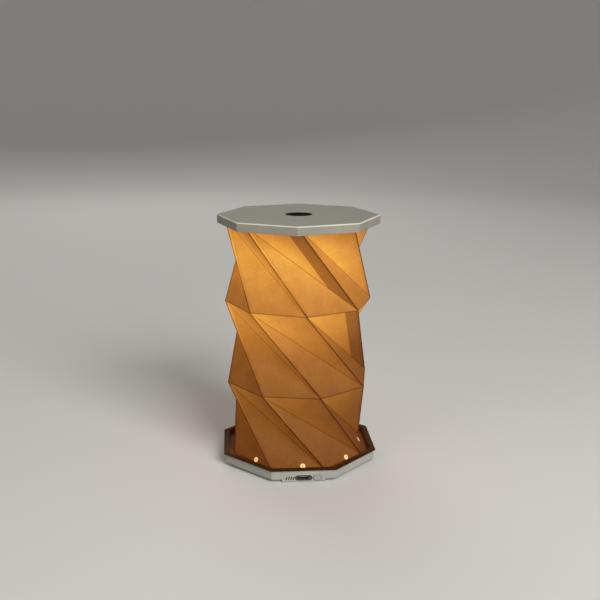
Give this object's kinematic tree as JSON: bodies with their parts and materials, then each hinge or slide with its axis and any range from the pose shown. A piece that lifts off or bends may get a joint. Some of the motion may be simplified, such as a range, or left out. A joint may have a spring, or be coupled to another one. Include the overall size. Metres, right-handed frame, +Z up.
{
  "type": "table lamp",
  "caption": "Rechargeable table lamp: an octagonal base and lid with a twisted, folded paper shade between them that closes flat when the lid is turned and pressed down.",
  "frame": {"origin": "on the table under the middle of the base", "axes": "+Z up through the middle of the base and lid; the charging socket faces -Y; +X is to the right of the socket"},
  "size_m": [0.1292, 0.1292, 0.2012],
  "materials": {
    "tray_plastic": "fine satin",
    "deck_plastic": "polished",
    "paper": "matt, lit from inside",
    "eyelet_plastic": "polished, the light inside shows through",
    "diffuser_plastic": "frosted, lit from below",
    "led": "lit",
    "board": "satin",
    "steel": "plain",
    "dark_steel": "dark plated",
    "cell_wrap": "satin",
    "foam": "matt foam tape",
    "ring_plastic": "plain moulded",
    "black_plastic": "plain moulded",
    "clear_plastic": "polished",
    "button_plastic": "fine satin",
    "rubber": "matt",
    "wire": "insulated"
  },
  "bodies": {
    "base": {"base_tray": "tray_plastic", "rubber_feet": "rubber", "tray_screws": "steel", "deck_plate": "deck_plastic", "shade_foot_ring": "ring_plastic", "foot_ring_screws": "steel", "shade_eyelets": "eyelet_plastic", "diffuser": "diffuser_plastic", "led_board": "board", "led_chips": "led", "base_magnet": "steel", "battery_cell": "cell_wrap", "battery_pad": "foam", "control_board": "board", "usb_shell": "steel", "usb_tongue": "black_plastic", "port_bezel": "black_plastic", "tact_switch": "black_plastic", "light_guide": "clear_plastic", "battery_leads": "wire", "led_leads": "wire"},
    "shade": {"paper_shade": "paper"},
    "lid": {"lid_shell": "tray_plastic", "lid_disc": "dark_steel", "lid_clamp_ring": "ring_plastic", "lid_screws": "steel"},
    "button": {"power_button": "button_plastic"}
  },
  "joints": [
    {"name": "shade_twist", "type": "hinge", "parent": "base", "child": "shade", "pos_m": [0, 0, 0.007], "axis": [0, 0, 1], "range_deg": [-107.7, 0]},
    {"name": "lid_drop", "type": "slide", "parent": "shade", "child": "lid", "axis": [0, 0, -1], "range_m": [0, 0.1829], "deforming": ["paper_shade"]},
    {"name": "button_press", "type": "slide", "parent": "base", "child": "button", "axis": [0, 1, 0], "range_m": [0, 0.0005], "stiffness_N_per_m": 1200, "springref_m": -0.0002}
  ],
  "couplings": [
    {"joint": "shade_twist", "follows": "lid_drop", "rad_per_m": -10.277}
  ]
}
